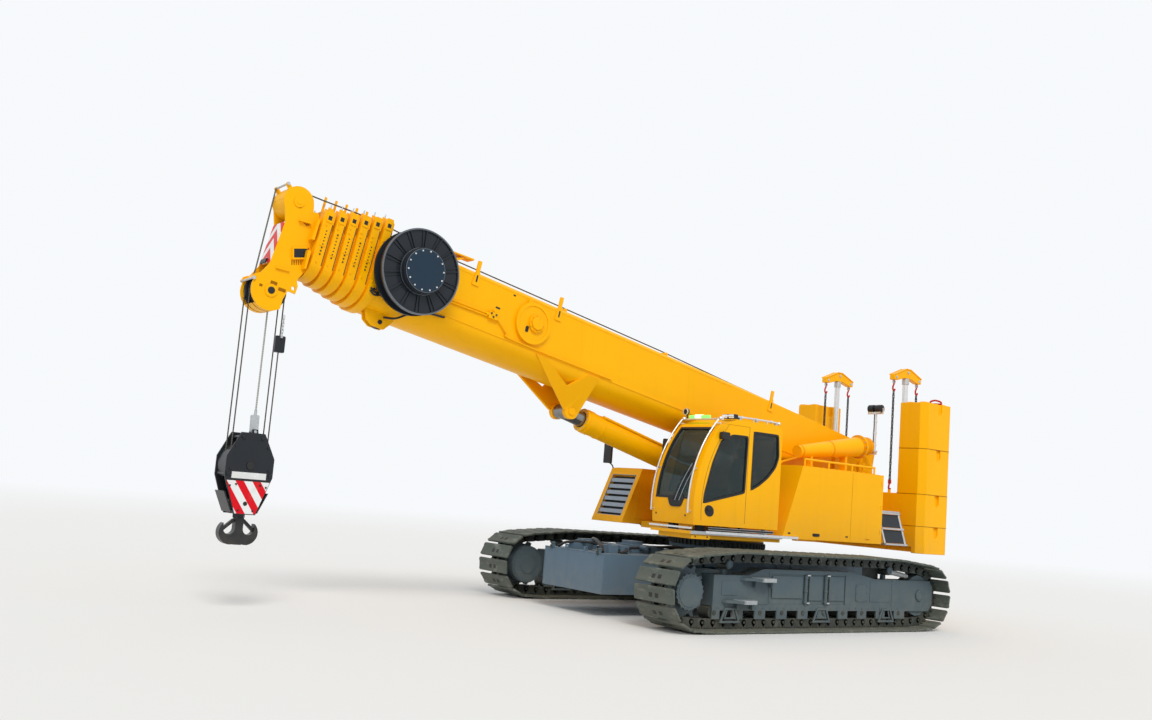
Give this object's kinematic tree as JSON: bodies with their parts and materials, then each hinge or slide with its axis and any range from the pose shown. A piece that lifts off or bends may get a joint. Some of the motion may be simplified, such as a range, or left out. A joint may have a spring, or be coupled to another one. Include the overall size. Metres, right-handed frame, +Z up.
{
  "type": "telescopic crawler crane",
  "caption": "Crawler crane with a telescoping box boom on a luffing cylinder, side cab, stacked rear counterweight and a hook block on hoist ropes, resting on two tracks.",
  "frame": {"origin": "on the ground under the slewing axis", "axes": "+X forward along the boom and the tracks, +Y to the crane's left, where the cab is, +Z up"},
  "size_m": [12.7008, 4.76, 5.3056],
  "materials": {
    "yellow_paint": "gloss",
    "frame_paint": "satin",
    "track_steel": "matt, dusty",
    "bare_steel": "satin",
    "black_paint": "satin",
    "glass": "tinted",
    "black_plastic": "matt",
    "chain_steel": "matt",
    "sheave_iron": "satin",
    "rope_steel": "greased"
  },
  "bodies": {
    "undercarriage": {"car_body": "frame_paint", "slew_ring": "bare_steel"},
    "left_crawler": {"left_side_frame": "frame_paint", "left_track": "track_steel", "left_sprocket": "frame_paint", "left_idler": "frame_paint", "left_rollers": "track_steel", "left_final_drive": "frame_paint"},
    "right_crawler": {"right_side_frame": "frame_paint", "right_track": "track_steel", "right_sprocket": "frame_paint", "right_idler": "frame_paint", "right_rollers": "track_steel", "right_final_drive": "frame_paint"},
    "superstructure": {"turntable": "yellow_paint", "cab_platform": "bare_steel", "left_cover": "yellow_paint", "right_cover": "yellow_paint", "front_cowl": "yellow_paint", "cowl_grille": "bare_steel", "engine": "black_paint", "handrails": "yellow_paint", "ladder": "bare_steel", "winch": "black_paint", "lamp_mast": "bare_steel", "ballast_lower": "yellow_paint", "ballast_middle": "yellow_paint", "ballast_left": "yellow_paint", "ballast_right": "yellow_paint", "ballast_rams": "bare_steel", "ballast_beams": "yellow_paint", "ballast_chains": "chain_steel"},
    "cab": {"cab_shell": "yellow_paint", "cab_door": "yellow_paint", "cab_glass": "glass", "cab_seat": "black_plastic", "cab_console": "black_plastic", "cab_rails": "bare_steel"},
    "boom": {"boom_base": "yellow_paint", "cable_reel": "black_paint"},
    "section_1": {"boom_section_1": "yellow_paint"},
    "section_2": {"boom_section_2": "yellow_paint"},
    "section_3": {"boom_section_3": "yellow_paint"},
    "section_4": {"boom_section_4": "yellow_paint"},
    "section_5": {"boom_section_5": "yellow_paint", "boom_head": "yellow_paint", "head_sheaves": "sheave_iron"},
    "luff_barrel": {"luff_barrel": "yellow_paint"},
    "luff_rod": {"luff_rod": "bare_steel"},
    "falls": {"hoist_ropes": "rope_steel"},
    "block": {"hook_block": "black_paint"},
    "hook": {"hook": "black_paint"}
  },
  "joints": [
    {"name": "left_crawler_slide", "type": "slide", "parent": "undercarriage", "child": "left_crawler", "axis": [0, 1, 0], "range_m": [-0.6, 0.4]},
    {"name": "right_crawler_slide", "type": "slide", "parent": "undercarriage", "child": "right_crawler", "axis": [0, -1, 0], "range_m": [-0.6, 0.4]},
    {"name": "slew", "type": "hinge", "parent": "undercarriage", "child": "superstructure", "pos_m": [0, 0, 1.2], "axis": [0, 0, 1], "continuous": true},
    {"name": "cab_tilt", "type": "hinge", "parent": "superstructure", "child": "cab", "pos_m": [0.3, 1.05, 1.392], "axis": [0, -1, 0], "range_deg": [0, 20]},
    {"name": "boom_luff", "type": "hinge", "parent": "superstructure", "child": "boom", "pos_m": [-3.082, 0, 2.653], "axis": [0, -1, 0], "range_deg": [-10.1, 72]},
    {"name": "tele_1", "type": "slide", "parent": "boom", "child": "section_1", "axis": [0.9845, 0, 0.1754], "range_m": [0, 8.1]},
    {"name": "tele_2", "type": "slide", "parent": "section_1", "child": "section_2", "axis": [0.9845, 0, 0.1754], "range_m": [0, 8.1]},
    {"name": "tele_3", "type": "slide", "parent": "section_2", "child": "section_3", "axis": [0.9845, 0, 0.1754], "range_m": [0, 8.1]},
    {"name": "tele_4", "type": "slide", "parent": "section_3", "child": "section_4", "axis": [0.9845, 0, 0.1754], "range_m": [0, 8.1]},
    {"name": "tele_5", "type": "slide", "parent": "section_4", "child": "section_5", "axis": [0.9845, 0, 0.1754], "range_m": [0, 8.1]},
    {"name": "falls_swing", "type": "hinge", "parent": "section_5", "child": "falls", "pos_m": [8.17084, 0, 3.92204], "axis": [0, -1, 0], "range_deg": [-72, 10.1]},
    {"name": "hook_hoist", "type": "slide", "parent": "falls", "child": "block", "axis": [0, 0, 1], "range_m": [-0.75, 1], "deforming": ["hoist_ropes"]},
    {"name": "hook_swivel", "type": "hinge", "parent": "block", "child": "hook", "pos_m": [8.17084, 0, 1.16], "axis": [0, 0, 1], "continuous": true},
    {"name": "ram_base", "type": "hinge", "parent": "superstructure", "child": "luff_barrel", "pos_m": [-2.5, 0, 1.45], "axis": [0, -1, 0], "range_deg": [-9.6, 67.8]},
    {"name": "ram_stroke", "type": "slide", "parent": "luff_barrel", "child": "luff_rod", "axis": [0.969, 0, 0.2472], "range_m": [-0.24, 1.7]}
  ],
  "couplings": [
    {"joint": "tele_2", "follows": "tele_1", "ratio": 1},
    {"joint": "tele_3", "follows": "tele_1", "ratio": 1},
    {"joint": "tele_4", "follows": "tele_1", "ratio": 1},
    {"joint": "tele_5", "follows": "tele_1", "ratio": 1},
    {"joint": "falls_swing", "follows": "boom_luff", "ratio": -1},
    {"joint": "ram_base", "follows": "boom_luff", "ratio": 0.94},
    {"joint": "ram_stroke", "follows": "boom_luff", "m_per_rad": 1.35}
  ]
}
